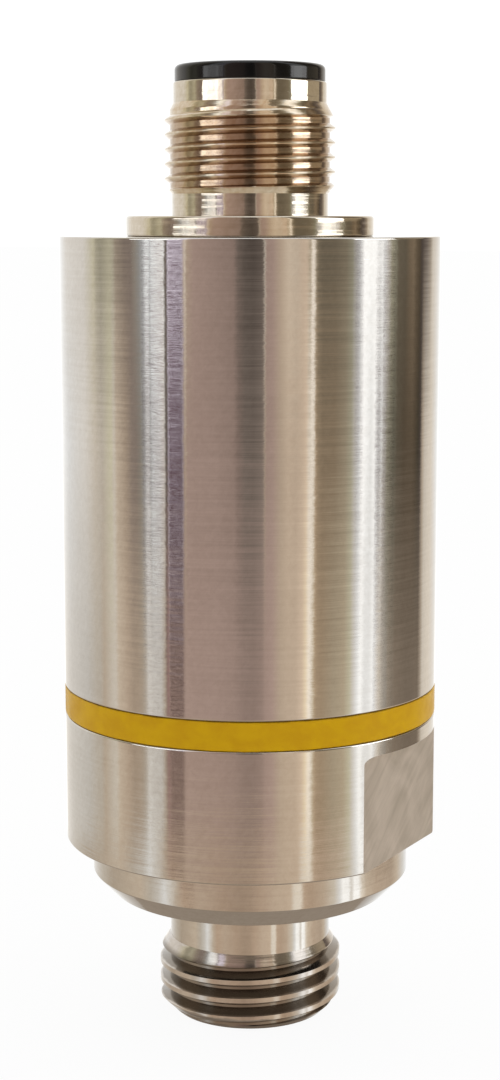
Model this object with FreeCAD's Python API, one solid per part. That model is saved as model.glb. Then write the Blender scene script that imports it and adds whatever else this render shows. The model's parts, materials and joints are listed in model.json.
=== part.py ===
import FreeCAD, Part
import math
import os

# Pressure transmitter, in millimetres, Z up along the axis of the round body.
# The origin is on the axis in the sealing face, the underside of the lower
# flange: the process thread hangs below it and the plug connector points up.
# Threads are plain at their major diameter.

# ---------------------------------------------------------------- dimensions

# pressure port: threaded stud (G 1/4), sealing flange and gripped collar
process_thread_diameter = 13.157
stud_length = 9.2
stud_chamfer = 1.0
relief_diameter = 11.6
relief_length = 3.66
process_run_out = 0.44
inlet_diameter = 3.5
inlet_chamfer = 0.4
flange_diameter = 22.8
flange_height = 3.88
flange_chamfer_width = 1.35
flange_chamfer_height = 1.4
collar_height = 9.17
across_flats = 24.0
flat_land = 1.05
flat_root_radius = 0.5
edge_break = 0.12

# profile seal let into the sealing face
port_seal_diameter = 16.5
port_seal_thickness = 1.5
port_seal_play = 0.1

# body, marker ring and housing
body_diameter = 26.6
marker_width = 2.05
housing_length = 31.71
housing_wall = 1.3
housing_cap = 2.0
spigot_length = 6.0
spigot_lead = 0.4
spigot_play = 0.05
housing_seal_cord = 1.2

# measuring cell and what holds it
cell_diameter = 12.6
cell_height = 5.0
cell_play = 0.1
cell_floor_height = 5.2
cell_rim = 1.1
cell_dish = 0.3
cell_dish_margin = 0.6
cell_header_step = 0.8
cell_seal_cord = 1.2
clamp_height = 3.0
clamp_shoulder = 0.8
clamp_overlap = 1.3
clamp_play = 0.05
clamp_slot_width = 2.0
clamp_slot_depth = 1.0
clamp_step_gap = 0.4

# carrier, boards and insulation inside the housing
carrier_flange = 1.5
carrier_register = 2.0
carrier_play = 0.1
carrier_window = 5.2
sleeve_gap = 0.2
sleeve_wall = 0.4
rail_gap = 0.2
rail_wall = 1.0
rail_width = 4.0
rail_slot_depth = 1.0
board_thickness = 1.2
board_play = 0.05
header_room = 4.0
connector_board_thickness = 1.0
connector_board_margin = 1.0

# flexible strip from the cell to the amplifier board
strip_width = 3.6
strip_thickness = 0.15
strip_bend = 1.0
strip_foot = 2.0
strip_lap = 3.0

# parts soldered to the amplifier board: width, height and depth off the board
chip_size = 4.0
chip_depth = 0.9
regulator_width = 3.0
regulator_height = 2.6
regulator_depth = 1.3
diode_width = 2.6
diode_height = 1.6
diode_depth = 1.1
capacitor_width = 1.6
capacitor_height = 0.9
capacitor_depth = 0.9
component_gap = 0.7
component_margin = 2.0

# angled header from the connector board to the amplifier board
header_pitch = 2.2
header_offset = 4.5
header_width = 2.2
header_height = 1.4
header_end = 0.4
header_pin_size = 0.6
header_pin_bend = 1.0
header_landing = 1.6

# plug connector, M12 x 1: shell, seal and lock nut
connector_flange_diameter = 17.3
connector_flange_height = 1.39
connector_flange_lip = 0.6
connector_seal_cord = 0.75
connector_seal_play = 0.15
connector_hole_play = 0.1
connector_thread_diameter = 11.9
connector_neck_depth = 0.5
connector_neck_length = 1.5
connector_run_out = 0.6
connector_thread_length = 5.05
connector_band_depth = 0.62
connector_lead_in = 1.15
connector_band_length = 1.43
connector_shell_wall = 0.58
nut_wall = 1.5
nut_height = 2.5
nut_chamfer = 0.5
shank_projection = 0.8

# contact insert and its pins
insert_play = 0.05
insert_rim_height = 1.17
insert_rim_inset = 0.1
insert_rim_chamfer = 0.35
insert_wall = 0.5
insert_cup_depth = 8.3
insert_seal_cord = 0.9
key_width = 1.0
key_height = 0.6
key_drop = 1.0
pin_count = 4
pin_diameter = 1.0
pin_wall_gap = 1.7
pin_tip_drop = 1.2
pin_taper = 0.4
pin_shank_diameter = 1.4
pin_tail_diameter = 0.6
pin_tail = 0.8
pin_hole_play = 0.1

# ------------------------------------------------------------ worked-out sizes

stud_end = -stud_length
thread_radius = process_thread_diameter / 2
relief_radius = relief_diameter / 2
inlet_radius = inlet_diameter / 2
flange_radius = flange_diameter / 2
port_seal_radius = port_seal_diameter / 2

body_radius = body_diameter / 2
shoulder = flange_height + collar_height
flat_top = shoulder - flat_land
housing_bottom = shoulder + marker_width
housing_top = housing_bottom + housing_length
cap_underside = housing_top - housing_cap
housing_bore = body_radius - housing_wall
spigot_radius = housing_bore - spigot_play
spigot_top = housing_bottom + spigot_length
housing_seal_low = (housing_bottom + spigot_top - housing_seal_cord) / 2

cell_radius = cell_diameter / 2
pocket_radius = cell_radius + cell_play
cell_top = cell_floor_height + cell_height
cell_seal_bore = cell_radius - cell_rim - cell_seal_cord
clamp_radius = pocket_radius + clamp_shoulder
clamp_bore = clamp_radius + clamp_play
clamp_window = cell_radius - clamp_overlap
clamp_top = cell_top + clamp_height

sleeve_radius = housing_bore - sleeve_gap
sleeve_bore = sleeve_radius - sleeve_wall
carrier_top = spigot_top + carrier_flange
rail_reach = math.sqrt((sleeve_bore - rail_gap) ** 2 - (rail_width / 2) ** 2)
board_half_width = rail_reach - rail_wall
board_half_thickness = board_thickness / 2

connector_flange_radius = connector_flange_diameter / 2
connector_flange_top = housing_top + connector_flange_height
connector_seal_room = connector_seal_cord + connector_seal_play
shank_radius = connector_flange_radius - connector_flange_lip - connector_seal_room
shell_rear = cap_underside - nut_height - shank_projection
crest_radius = connector_thread_diameter / 2
neck_radius = crest_radius - connector_neck_depth
neck_top = connector_flange_top + connector_neck_length
thread_top = neck_top + connector_thread_length
band_radius = crest_radius - connector_band_depth
band_bottom = thread_top + connector_lead_in
shell_top = band_bottom + connector_band_length
shell_bore = band_radius - connector_shell_wall

connector_board_bottom = shell_rear - connector_board_thickness
connector_board_radius = shank_radius + connector_board_margin
board_top = connector_board_bottom - header_room

insert_radius = shell_bore - insert_play
insert_top = shell_top + insert_rim_height
insert_rim_radius = band_radius - insert_rim_inset
cup_radius = insert_radius - insert_wall
cup_floor = insert_top - insert_cup_depth
insert_seal_radius = insert_radius + insert_seal_cord
pin_radius = pin_diameter / 2
pin_shank_radius = pin_shank_diameter / 2
pin_tail_radius = pin_tail_diameter / 2
pin_circle = cup_radius - pin_wall_gap
pin_tip = insert_top - pin_tip_drop
pin_end = connector_board_bottom - pin_tail

axis_origin = FreeCAD.Vector(0, 0, 0)
axis_up = FreeCAD.Vector(0, 0, 1)

# -------------------------------------------------------------------- helpers


def turned(section):
    """Turn a closed half-section of (radius, height) corners about the axis."""
    corners = [FreeCAD.Vector(radius, 0, height) for radius, height in section]
    face = Part.Face(Part.makePolygon(corners + corners[:1]))
    return face.revolve(axis_origin, axis_up, 360)


def tube(bore, radius, low, high):
    """Plain round tube about the axis."""
    return turned([(bore, low), (radius, low), (radius, high), (bore, high)])


def rod(radius, low, high, x=0, y=0):
    """Upright round rod."""
    return Part.makeCylinder(radius, high - low, FreeCAD.Vector(x, y, low))


def block(x_span, y_span, z_span):
    """Box between pairs of limits."""
    size = [high - low for low, high in (x_span, y_span, z_span)]
    corner = FreeCAD.Vector(x_span[0], y_span[0], z_span[0])
    return Part.makeBox(*size, corner)


def seal_ring(bore, cord, low):
    """Square-cut ring about the axis."""
    return tube(bore, bore + cord, low, low + cord)


def rectangle(centre, width, depth):
    """Closed level rectangle about a centre, width along X and depth along Y."""
    across = FreeCAD.Vector(width / 2, 0, 0)
    along = FreeCAD.Vector(0, depth / 2, 0)
    near, far = centre - along, centre + along
    corners = [near - across, near + across, far + across, far - across]
    return Part.makePolygon(corners + corners[:1])


def swept(section, path):
    """Closed section carried along a path of tangent edges."""
    return Part.Wire(path).makePipeShell([section], True, False)


def bend_path(start, corner, end, radius):
    """Two straight runs through a right-angled corner, joined by a tangent arc."""
    back = (start - corner).normalize() * radius
    ahead = (end - corner).normalize() * radius
    centre = corner + back + ahead
    middle = centre - (back + ahead).normalize() * radius
    arc = Part.Arc(corner + back, middle, corner + ahead)
    first = Part.LineSegment(start, corner + back)
    last = Part.LineSegment(corner + ahead, end)
    return [first.toShape(), arc.toShape(), last.toShape()]


def pin_places():
    """Centres of the contact pins, spread evenly round their circle."""
    for index in range(pin_count):
        angle = 2 * math.pi * (index + 0.5) / pin_count
        yield pin_circle * math.cos(angle), pin_circle * math.sin(angle)


# ---------------------------------------------------------------- outer pieces


def make_flat_cutter(side):
    """What the mill takes off for one spanner flat: open below, rounded in its upper root."""
    flat = side * across_flats / 2
    outside = side * body_diameter
    root = flat_root_radius
    centre = FreeCAD.Vector(flat + side * root, -body_radius, flat_top - root)
    root_side = centre - FreeCAD.Vector(side * root, 0, 0)
    root_top = centre + FreeCAD.Vector(0, 0, root)
    root_middle = centre + FreeCAD.Vector(-side, 0, 1).normalize() * root
    inner_low = FreeCAD.Vector(flat, -body_radius, flange_height)
    outer_low = FreeCAD.Vector(outside, -body_radius, flange_height)
    outer_top = FreeCAD.Vector(outside, -body_radius, flat_top)
    outline = Part.Wire([
        Part.makeLine(inner_low, root_side),
        Part.Arc(root_side, root_middle, root_top).toShape(),
        Part.makeLine(root_top, outer_top),
        Part.makeLine(outer_top, outer_low),
        Part.makeLine(outer_low, inner_low),
    ])
    return Part.Face(outline).extrude(FreeCAD.Vector(0, body_diameter, 0))


def make_pressure_port():
    """One turned piece: stud, flange, gripped collar, spigot and cell pocket."""
    seal_groove = port_seal_radius + port_seal_play
    ring_low = housing_seal_low - spigot_play
    ring_high = housing_seal_low + housing_seal_cord + spigot_play
    ring_floor = housing_bore - housing_seal_cord
    cell_groove_out = cell_seal_bore + cell_seal_cord + cell_play
    cell_groove_in = cell_seal_bore - cell_play
    cell_groove_floor = cell_floor_height - cell_seal_cord
    clamp_step = cell_top - clamp_step_gap
    port = turned([
        (inlet_radius + inlet_chamfer, stud_end),
        (thread_radius - stud_chamfer, stud_end),
        (thread_radius, stud_end + stud_chamfer),
        (thread_radius, -relief_length - process_run_out),
        (relief_radius, -relief_length),
        (relief_radius, port_seal_thickness),
        (seal_groove, port_seal_thickness),
        (seal_groove, 0),
        (flange_radius - flange_chamfer_width, 0),
        (flange_radius, flange_chamfer_height),
        (flange_radius, flange_height),
        (body_radius - edge_break, flange_height),
        (body_radius, flange_height + edge_break),
        (body_radius, shoulder - edge_break),
        (body_radius - edge_break, shoulder),
        (spigot_radius, shoulder),
        (spigot_radius, ring_low),
        (ring_floor, ring_low),
        (ring_floor, ring_high),
        (spigot_radius, ring_high),
        (spigot_radius, spigot_top - spigot_lead),
        (spigot_radius - spigot_lead, spigot_top),
        (clamp_bore, spigot_top),
        (clamp_bore, clamp_step),
        (pocket_radius, clamp_step),
        (pocket_radius, cell_floor_height),
        (cell_groove_out, cell_floor_height),
        (cell_groove_out, cell_groove_floor),
        (cell_groove_in, cell_groove_floor),
        (cell_groove_in, cell_floor_height),
        (inlet_radius, cell_floor_height),
        (inlet_radius, stud_end + inlet_chamfer),
    ])
    for side in (-1, 1):
        port = port.cut(make_flat_cutter(side))
    return port


def make_port_seal():
    """Square-cut ring with a bevelled lip, flush with the sealing face."""
    bevel = port_seal_thickness / 3
    return turned([
        (relief_radius + bevel, 0),
        (port_seal_radius, 0),
        (port_seal_radius, port_seal_thickness),
        (relief_radius, port_seal_thickness),
        (relief_radius, bevel),
    ])


def make_marker_ring():
    """Coloured band clamped between the collar and the housing."""
    return turned([
        (spigot_radius + spigot_play, shoulder),
        (body_radius - edge_break, shoulder),
        (body_radius, shoulder + edge_break),
        (body_radius, housing_bottom - edge_break),
        (body_radius - edge_break, housing_bottom),
        (spigot_radius + spigot_play, housing_bottom),
    ])


def make_housing():
    """Deep cup that screws over the spigot, with the connector hole in its cap."""
    hole = shank_radius + connector_hole_play
    return turned([
        (housing_bore, housing_bottom),
        (body_radius - edge_break, housing_bottom),
        (body_radius, housing_bottom + edge_break),
        (body_radius, housing_top - edge_break),
        (body_radius - edge_break, housing_top),
        (hole, housing_top),
        (hole, cap_underside),
        (housing_bore, cap_underside),
    ])


def make_housing_seal():
    """Ring in the spigot's groove, against the housing bore."""
    return seal_ring(housing_bore - housing_seal_cord, housing_seal_cord, housing_seal_low)


# ---------------------------------------------------------- measuring cell end


def make_sensor_cell():
    """Welded cell: header, dished face towards the inlet, stepped back."""
    dish = cell_seal_bore - cell_dish_margin
    return turned([
        (0, cell_floor_height + cell_dish),
        (dish, cell_floor_height + cell_dish),
        (dish, cell_floor_height),
        (cell_radius, cell_floor_height),
        (cell_radius, cell_top),
        (clamp_window - cell_header_step, cell_top),
        (clamp_window - cell_header_step, cell_top - cell_dish),
        (0, cell_top - cell_dish),
    ])


def make_cell_seal():
    """Ring in the pocket floor, under the cell."""
    return seal_ring(cell_seal_bore, cell_seal_cord, cell_floor_height - cell_seal_cord)


def make_clamp_ring():
    """Threaded ring that holds the cell down, with two spanner slots."""
    ring = tube(clamp_window, clamp_radius, cell_top, clamp_top)
    half_slot = clamp_slot_width / 2
    slot_floor = clamp_top - clamp_slot_depth
    return ring.cut(block((-half_slot, half_slot), (-clamp_bore, clamp_bore), (slot_floor, clamp_top)))


def make_cell_strip():
    """Flexible strip: foot on the cell, bend, and a lap on the board's back face."""
    back = -board_half_thickness - strip_thickness / 2
    foot = cell_top - cell_dish + strip_thickness / 2
    top = FreeCAD.Vector(0, back, carrier_top + strip_lap)
    corner = FreeCAD.Vector(0, back, foot)
    toe = FreeCAD.Vector(0, back - strip_bend - strip_foot, foot)
    section = rectangle(top, strip_width, strip_thickness)
    return swept(section, bend_path(top, corner, toe, strip_bend))


# ------------------------------------------------------- boards in the housing


def make_board_carrier():
    """Moulded carrier: register in the spigot, flange on it, two slotted rails."""
    register = clamp_bore - carrier_play
    carrier = tube(carrier_window, sleeve_radius, spigot_top, carrier_top)
    carrier = carrier.fuse(tube(carrier_window, register, spigot_top - carrier_register, spigot_top))
    half_slot = board_half_thickness + board_play
    for side in (-1, 1):
        rail_in = board_half_width - rail_slot_depth
        rail_out = board_half_width + rail_wall
        reach = sorted((side * rail_in, side * rail_out))
        rail = block(reach, (-rail_width / 2, rail_width / 2), (carrier_top, board_top))
        slot = sorted((side * rail_in, side * (board_half_width + board_play)))
        rail = rail.cut(block(slot, (-half_slot, half_slot), (carrier_top, board_top)))
        carrier = carrier.fuse(rail)
    return carrier.removeSplitter()


def make_insulating_sleeve():
    """Thin tube that keeps the boards off the metal wall."""
    return tube(sleeve_bore, sleeve_radius, carrier_top, connector_board_bottom)


def make_amplifier_board():
    """Upright board held at both edges by the carrier's rails."""
    width = (-board_half_width, board_half_width)
    return block(width, (-board_half_thickness, board_half_thickness), (carrier_top, board_top))


def on_board(left, low, width, height, depth, front=True):
    """Component lying on the front (+Y) or back face of the amplifier board."""
    near = board_half_thickness
    far = near + depth
    span = (near, far) if front else (-far, -near)
    bottom = carrier_top + low
    return block((left, left + width), span, (bottom, bottom + height))


def make_signal_chip():
    left = -component_gap / 2 - chip_size
    return on_board(left, component_margin, chip_size, chip_size, chip_depth)


def make_regulator():
    size = (regulator_width, regulator_height, regulator_depth)
    return on_board(component_gap / 2, component_margin, *size)


def make_surge_diodes():
    """Two diodes side by side above the strip's lap, on the back face."""
    low = strip_lap + component_gap
    pitch = diode_width + component_gap
    left = -pitch + component_gap / 2
    size = (diode_width, diode_height, diode_depth)
    pair = [on_board(left + index * pitch, low, *size, front=False) for index in range(2)]
    return Part.makeCompound(pair)


def make_filter_capacitors():
    """Row of four capacitors above the diodes, on the back face."""
    low = strip_lap + diode_height + 2 * component_gap
    pitch = capacitor_width + component_gap
    left = -2 * pitch + component_gap / 2
    size = (capacitor_width, capacitor_height, capacitor_depth)
    row = [on_board(left + index * pitch, low, *size, front=False) for index in range(4)]
    return Part.makeCompound(row)


def header_places():
    """X of each header pin, in one row across the board."""
    for index in range(pin_count):
        yield (index - (pin_count - 1) / 2) * header_pitch


def make_header_pin(x):
    """Square pin, down from the connector board and round into the front of the board."""
    landing = board_top - header_landing
    start = FreeCAD.Vector(x, header_offset, connector_board_bottom)
    corner = FreeCAD.Vector(x, header_offset, landing)
    end = FreeCAD.Vector(x, board_half_thickness, landing)
    section = rectangle(start, header_pin_size, header_pin_size)
    return swept(section, bend_path(start, corner, end, header_pin_bend))


def make_header_pins():
    return Part.makeCompound([make_header_pin(x) for x in header_places()])


def make_header_strip():
    """Moulded strip on the connector board that holds the header pins in line."""
    reach = (pin_count * header_pitch + header_end) / 2
    depth = (header_offset - header_width / 2, header_offset + header_width / 2)
    bottom = connector_board_bottom - header_height
    strip = block((-reach, reach), depth, (bottom, connector_board_bottom))
    half = header_pin_size / 2
    hole_depth = (header_offset - half, header_offset + half)
    for x in header_places():
        strip = strip.cut(block((x - half, x + half), hole_depth, (bottom, connector_board_bottom)))
    return strip


def make_connector_board():
    """Round board soldered to the tails of the contact pins."""
    board = rod(connector_board_radius, connector_board_bottom, shell_rear)
    for x, y in pin_places():
        board = board.cut(rod(pin_tail_radius + pin_hole_play, connector_board_bottom, shell_rear, x, y))
    return board


# ------------------------------------------------------------- plug connector


def make_connector_shell():
    """Turned shell: shank, flange with its seal groove, neck, thread, front band and rear seat."""
    groove = shank_radius + connector_seal_room
    return turned([
        (insert_seal_radius, shell_rear),
        (shank_radius - edge_break, shell_rear),
        (shank_radius, shell_rear + edge_break),
        (shank_radius, housing_top + connector_seal_cord),
        (groove, housing_top + connector_seal_cord),
        (groove, housing_top),
        (connector_flange_radius - edge_break, housing_top),
        (connector_flange_radius, housing_top + edge_break),
        (connector_flange_radius, connector_flange_top - edge_break),
        (connector_flange_radius - edge_break, connector_flange_top),
        (neck_radius, connector_flange_top),
        (neck_radius, neck_top),
        (crest_radius, neck_top + connector_run_out),
        (crest_radius, thread_top),
        (band_radius, band_bottom),
        (band_radius, shell_top - edge_break),
        (band_radius - edge_break, shell_top),
        (shell_bore, shell_top),
        (shell_bore, shell_rear + insert_seal_cord),
        (insert_seal_radius, shell_rear + insert_seal_cord),
    ])


def make_connector_seal():
    """Ring in the underside of the connector flange, on the housing cap."""
    return seal_ring(shank_radius + connector_seal_play / 2, connector_seal_cord, housing_top)


def make_lock_nut():
    """Hexagon nut on the shank, under the housing cap, with chamfered corners."""
    low = cap_underside - nut_height
    flat_distance = shank_radius + nut_wall
    corner_radius = flat_distance / math.cos(math.pi / 6)
    corners = [FreeCAD.Vector(corner_radius * math.cos(math.pi / 3 * index),
                              corner_radius * math.sin(math.pi / 3 * index), low)
               for index in range(6)]
    hexagon = Part.Face(Part.makePolygon(corners + corners[:1])).extrude(axis_up * nut_height)
    chamfered = turned([
        (shank_radius, low),
        (flat_distance, low),
        (corner_radius, low + nut_chamfer),
        (corner_radius, cap_underside - nut_chamfer),
        (flat_distance, cap_underside),
        (shank_radius, cap_underside),
    ])
    return hexagon.common(chamfered)


def make_connector_insert():
    """Moulded insert: rim on the shell, open cup with a key, solid base for the pins."""
    insert = turned([
        (0, shell_rear),
        (insert_radius, shell_rear),
        (insert_radius, shell_top),
        (insert_rim_radius, shell_top),
        (insert_rim_radius, insert_top - insert_rim_chamfer),
        (insert_rim_radius - insert_rim_chamfer, insert_top),
        (cup_radius, insert_top),
        (cup_radius, cup_floor),
        (0, cup_floor),
    ])
    half_key = key_width / 2
    key_reach = (cup_radius - key_height, insert_radius)
    insert = insert.fuse(block((-half_key, half_key), key_reach, (cup_floor, insert_top - key_drop)))
    for x, y in pin_places():
        insert = insert.cut(rod(pin_shank_radius, shell_rear, cup_floor, x, y))
    return insert.removeSplitter()


def make_insert_seal():
    """Ring round the insert in the shell's rear seat, closed by the connector board."""
    return seal_ring(insert_radius, insert_seal_cord, shell_rear)


def make_contact_pin(x, y):
    """Round pin: solder tail through the board, thick shank in the insert, contact with a tapered tip."""
    pin = turned([
        (0, pin_end),
        (pin_tail_radius, pin_end),
        (pin_tail_radius, shell_rear),
        (pin_shank_radius, shell_rear),
        (pin_shank_radius, cup_floor),
        (pin_radius, cup_floor),
        (pin_radius, pin_tip - pin_taper),
        (pin_radius / 2, pin_tip),
        (0, pin_tip),
    ])
    return pin.translated(FreeCAD.Vector(x, y, 0))


# ---------------------------------------------------------------------- output

pieces = {
    "pressure_port": make_pressure_port(),
    "port_seal_ring": make_port_seal(),
    "marker_ring": make_marker_ring(),
    "housing": make_housing(),
    "housing_seal_ring": make_housing_seal(),
    "sensor_cell": make_sensor_cell(),
    "cell_seal_ring": make_cell_seal(),
    "cell_clamp_ring": make_clamp_ring(),
    "cell_strip": make_cell_strip(),
    "board_carrier": make_board_carrier(),
    "insulating_sleeve": make_insulating_sleeve(),
    "amplifier_board": make_amplifier_board(),
    "signal_chip": make_signal_chip(),
    "voltage_regulator": make_regulator(),
    "surge_diodes": make_surge_diodes(),
    "filter_capacitors": make_filter_capacitors(),
    "header_pins": make_header_pins(),
    "header_strip": make_header_strip(),
    "connector_board": make_connector_board(),
    "connector_shell": make_connector_shell(),
    "connector_seal_ring": make_connector_seal(),
    "connector_lock_nut": make_lock_nut(),
    "connector_insert": make_connector_insert(),
    "insert_seal_ring": make_insert_seal(),
}
for number, place in enumerate(pin_places(), start=1):
    pieces[f"contact_pin_{number}"] = make_contact_pin(*place)

os.makedirs("parts", exist_ok=True)
for name, shape in pieces.items():
    shape.exportStep(f"parts/{name}.step")
print(f"{len(pieces)} nodes written")
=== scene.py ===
import bmesh
import bpy
import json
import math
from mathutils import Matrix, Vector


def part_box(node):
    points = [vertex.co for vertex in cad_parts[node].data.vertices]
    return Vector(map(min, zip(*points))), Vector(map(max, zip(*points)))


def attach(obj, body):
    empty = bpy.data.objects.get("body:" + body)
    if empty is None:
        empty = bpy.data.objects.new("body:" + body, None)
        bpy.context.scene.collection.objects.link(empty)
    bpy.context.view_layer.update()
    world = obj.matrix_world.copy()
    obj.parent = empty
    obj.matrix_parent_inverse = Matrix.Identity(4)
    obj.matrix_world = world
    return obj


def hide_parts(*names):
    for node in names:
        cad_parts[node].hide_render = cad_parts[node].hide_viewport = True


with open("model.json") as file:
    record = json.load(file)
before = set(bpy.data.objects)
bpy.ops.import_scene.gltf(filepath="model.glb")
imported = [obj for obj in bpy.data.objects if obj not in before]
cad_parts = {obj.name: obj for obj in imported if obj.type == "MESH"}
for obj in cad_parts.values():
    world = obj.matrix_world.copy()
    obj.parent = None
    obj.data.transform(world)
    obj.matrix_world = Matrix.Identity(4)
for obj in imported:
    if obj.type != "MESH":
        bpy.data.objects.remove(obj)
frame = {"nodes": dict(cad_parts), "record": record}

# Pressure transmitter: turned steel body, G 1/4 stud below, M12 plug connector on top.
# Everything is in metres, about the upright axis of the round body.

mm = 0.001
fullTurn = 2 * math.pi
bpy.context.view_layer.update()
mounts = {mount["name"]: mount for mount in frame["record"]["mounts"]}


def bottomOf(node):
    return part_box(node)[0][2]


def topOf(node):
    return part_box(node)[1][2]


def reachOf(node):
    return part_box(node)[1][0]


def mountRadius(name):
    return mounts[name]["dims"]["r_mm"] * mm


# measures that several pieces share
studEnd = bottomOf("pressure_port")
shoulder = bottomOf("marker_ring")
housingBottom = topOf("marker_ring")
housingTop = topOf("housing")
bodyRadius = reachOf("housing")
housingWall = 1.3 * mm
shellRear = bottomOf("connector_shell")
shellTop = topOf("connector_shell")
edgeBreak = 0.12 * mm


def addNode(tree, kind, **settings):
    node = tree.nodes.new(kind)
    for key, value in settings.items():
        setattr(node, key, value)
    return node


def feed(tree, socket, value):
    # links a socket, or sets it where the value is plain
    if isinstance(value, bpy.types.NodeSocket):
        tree.links.new(value, socket)
    else:
        socket.default_value = value


def maths(tree, operation, first, second=0.0):
    node = addNode(tree, "ShaderNodeMath", operation=operation)
    feed(tree, node.inputs[0], first)
    feed(tree, node.inputs[1], second)
    return node.outputs[0]


def vectorMaths(tree, operation, first, second=None):
    node = addNode(tree, "ShaderNodeVectorMath", operation=operation)
    feed(tree, node.inputs[0], first)
    if second is not None:
        feed(tree, node.inputs[3 if operation == "SCALE" else 1], second)
    return node.outputs["Vector"]


def ranged(tree, value, fromLow, fromHigh, toLow=0.0, toHigh=1.0):
    node = addNode(tree, "ShaderNodeMapRange")
    for name, amount in (("Value", value), ("From Min", fromLow), ("From Max", fromHigh),
                         ("To Min", toLow), ("To Max", toHigh)):
        feed(tree, node.inputs[name], amount)
    return node.outputs["Result"]


def srgb(text):
    # linear colour from a six-figure web colour
    colour = []
    for place in (0, 2, 4):
        part = int(text[place:place + 2], 16) / 255
        colour.append(part / 12.92 if part < 0.04045 else ((part + 0.055) / 1.055) ** 2.4)
    return (*colour, 1)


def shaderOf(material):
    return material.node_tree.nodes["Principled BSDF"]


def startFinish(name, colour, roughness=0.5, metallic=0.0, **sockets):
    material = bpy.data.materials.new(name)
    material.use_nodes = True
    shader = shaderOf(material)
    shader.inputs["Base Color"].default_value = colour
    shader.inputs["Roughness"].default_value = roughness
    shader.inputs["Metallic"].default_value = metallic
    for key, value in sockets.items():
        shader.inputs[key.replace("_", " ")].default_value = value
    return material


def objectPoint(tree, scale=(1, 1, 1), turn=(0, 0, 0)):
    # object coordinates, turned first and stretched afterwards
    coordinates = addNode(tree, "ShaderNodeTexCoord")
    mapping = addNode(tree, "ShaderNodeMapping", vector_type="TEXTURE")
    mapping.inputs["Scale"].default_value = [1 / part for part in scale]
    mapping.inputs["Rotation"].default_value = turn
    tree.links.new(coordinates.outputs["Object"], mapping.inputs["Vector"])
    return mapping.outputs["Vector"]


def grain(tree, scale, detail=4.0, roughness=0.5, turn=(0, 0, 0), distortion=0.0):
    # noise with its own scale along each axis, in features per metre
    noise = addNode(tree, "ShaderNodeTexNoise")
    noise.inputs["Scale"].default_value = 1.0
    noise.inputs["Detail"].default_value = detail
    noise.inputs["Roughness"].default_value = roughness
    noise.inputs["Distortion"].default_value = distortion
    tree.links.new(objectPoint(tree, scale, turn), noise.inputs["Vector"])
    return noise.outputs["Fac"]


def blend(tree, factor, first, second, mode="MIX"):
    # inputs 6 and 7 and output 2 are the colour ones of a Mix node
    node = addNode(tree, "ShaderNodeMix", data_type="RGBA", blend_type=mode)
    feed(tree, node.inputs[0], factor)
    feed(tree, node.inputs[6], first)
    feed(tree, node.inputs[7], second)
    return node.outputs[2]


def emboss(tree, shader, height, strength, depth, normal=None):
    bump = addNode(tree, "ShaderNodeBump")
    bump.inputs["Strength"].default_value = strength
    bump.inputs["Distance"].default_value = depth
    feed(tree, bump.inputs["Height"], height)
    if normal is not None:
        feed(tree, bump.inputs["Normal"], normal)
    tree.links.new(bump.outputs["Normal"], shader.inputs["Normal"])


def heightAndRadius(tree):
    # height of the shaded point, and its distance from the axis
    place = addNode(tree, "ShaderNodeSeparateXYZ")
    feed(tree, place.inputs[0], objectPoint(tree))
    squares = [maths(tree, "MULTIPLY", place.outputs[axis], place.outputs[axis]) for axis in ("X", "Y")]
    return place.outputs["Z"], maths(tree, "SQRT", maths(tree, "ADD", *squares))


def weighted(tree, *pairs):
    # sum of values, each times its share
    parts = [maths(tree, "MULTIPLY", value, share) for value, share in pairs]
    total = parts[0]
    for part in parts[1:]:
        total = maths(tree, "ADD", total, part)
    return total


def repaint(material, amount, colour):
    # lays a colour over the one that a finish already has
    tree, shader = material.node_tree, shaderOf(material)
    clean = shader.inputs["Base Color"].links[0].from_socket
    feed(tree, shader.inputs["Base Color"], blend(tree, amount, clean, colour))


# the part of a noise that is spread over a whole range
wideSpan = (0.3, 0.7)
middleSpan = (0.35, 0.65)
toneSpan = (0.36, 0.64)

turning = {
    "rings": {"scale": (140, 140, 4600), "detail": 2.0},
    "fineRings": {"scale": (300, 300, 17000), "detail": 2.0},
    # rubbed marks left by handling and polishing
    "swirl": {"scale": (2600, 2600, 1900), "roughness": 0.6, "turn": (0.5, 0.35, 0.6), "distortion": 0.6},
    "patches": {"scale": (230, 230, 140), "detail": 3.0},
    "ringRelief": 0.5,
    "ringDepth": 0.003 * mm,
    "anisotropy": 0.6,
    "anisotropyTurn": 0.25,
    "toneShares": (0.25, 0.3, 0.45),    # of rings, patches and swirl
    "unevenGloss": (0.85, 1.2),
}


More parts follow.
